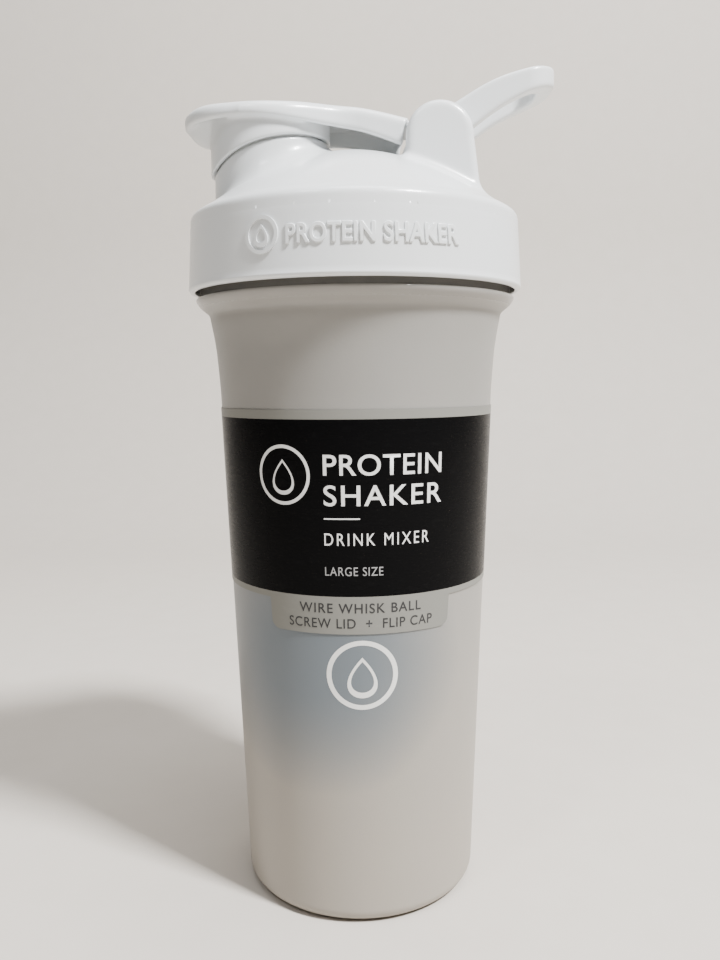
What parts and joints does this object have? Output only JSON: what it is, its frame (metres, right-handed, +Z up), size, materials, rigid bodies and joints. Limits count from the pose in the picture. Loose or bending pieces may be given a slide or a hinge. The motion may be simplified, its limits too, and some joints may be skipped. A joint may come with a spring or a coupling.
{
  "type": "protein shaker bottle",
  "caption": "Tapered frosted shaker bottle with a screw lid, a flip cap over an offset spout, a carry loop, a loose wire whisk ball and a printed sleeve.",
  "frame": {"origin": "centre of the flat underside of the bottle, on the bottle's axis", "axes": "+Z up along the bottle's axis; the spout is towards -X, and the hinge and carry loop towards +X"},
  "size_m": [0.107, 0.098, 0.2416],
  "materials": {
    "frosted_plastic": "frosted, softly see-through polypropylene",
    "soft_seal": "soft, matte",
    "white_plastic": "moulded, glossy",
    "steel_wire": "drawn stainless wire",
    "printed_sleeve": "satin printed film, black with grey borders"
  },
  "bodies": {
    "bottle": {"bottle_body": "frosted_plastic", "label_sleeve": "printed_sleeve"},
    "seal": {"lid_seal": "soft_seal"},
    "lid": {"screw_lid": "white_plastic"},
    "cap": {"flip_cap": "white_plastic"},
    "loop": {"carry_loop": "white_plastic"},
    "whisk": {"whisk_ball": "steel_wire"}
  },
  "joints": [
    {"name": "lid_rise", "type": "slide", "parent": "bottle", "child": "seal", "axis": [0, 0, 1], "range_m": [0, 0.0063]},
    {"name": "lid_turn", "type": "hinge", "parent": "seal", "child": "lid", "pos_m": [0, 0, 0.19], "axis": [0, 0, 1], "range_deg": [0, 450]},
    {"name": "cap_flip", "type": "hinge", "parent": "lid", "child": "cap", "pos_m": [0.0239, 0, 0.2212], "axis": [0, 1, 0], "range_deg": [0, 76]},
    {"name": "loop_swing", "type": "hinge", "parent": "lid", "child": "loop", "pos_m": [0.0239, 0, 0.2212], "axis": [0, 1, 0], "range_deg": [0, 60]},
    {"name": "whisk_rise", "type": "slide", "parent": "bottle", "child": "whisk", "axis": [0, 0, 1], "range_m": [0, 0.14]}
  ],
  "couplings": [
    {"joint": "lid_rise", "follows": "lid_turn", "m_per_rad": 0.00079577}
  ]
}
